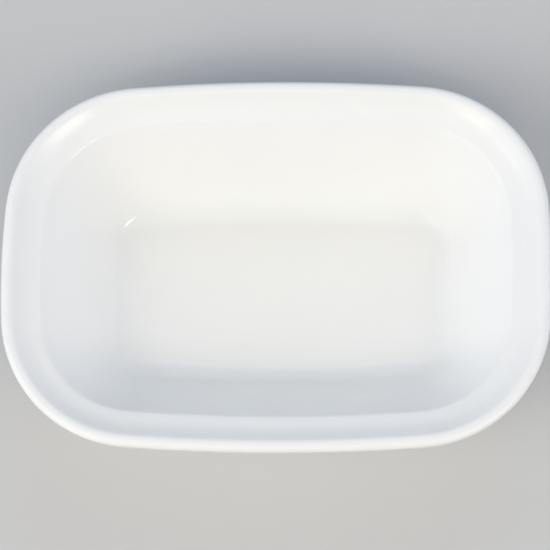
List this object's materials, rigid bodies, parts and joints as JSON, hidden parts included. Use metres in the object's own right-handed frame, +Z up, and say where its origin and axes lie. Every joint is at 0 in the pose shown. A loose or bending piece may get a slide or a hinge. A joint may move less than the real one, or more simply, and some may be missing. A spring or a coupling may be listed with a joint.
{
  "type": "evaporating dish",
  "caption": "Open rectangular glazed porcelain dish with round corners, a rounded lip around a sloping shelf, steep walls and a flat floor, for heating off liquids.",
  "frame": {"origin": "centre of the dish, on the plane its foot ring rests on", "axes": "+X along the long sides, +Y across, +Z up out of the bowl"},
  "size_m": [0.24, 0.1674, 0.0585],
  "materials": {
    "fired_body": "unglazed, fine and slightly rough",
    "glaze": "glossy white"
  },
  "bodies": {
    "root": {"porcelain_body": "fired_body", "glaze_coat": "glaze", "base_glaze": "glaze"}
  },
  "joints": []
}
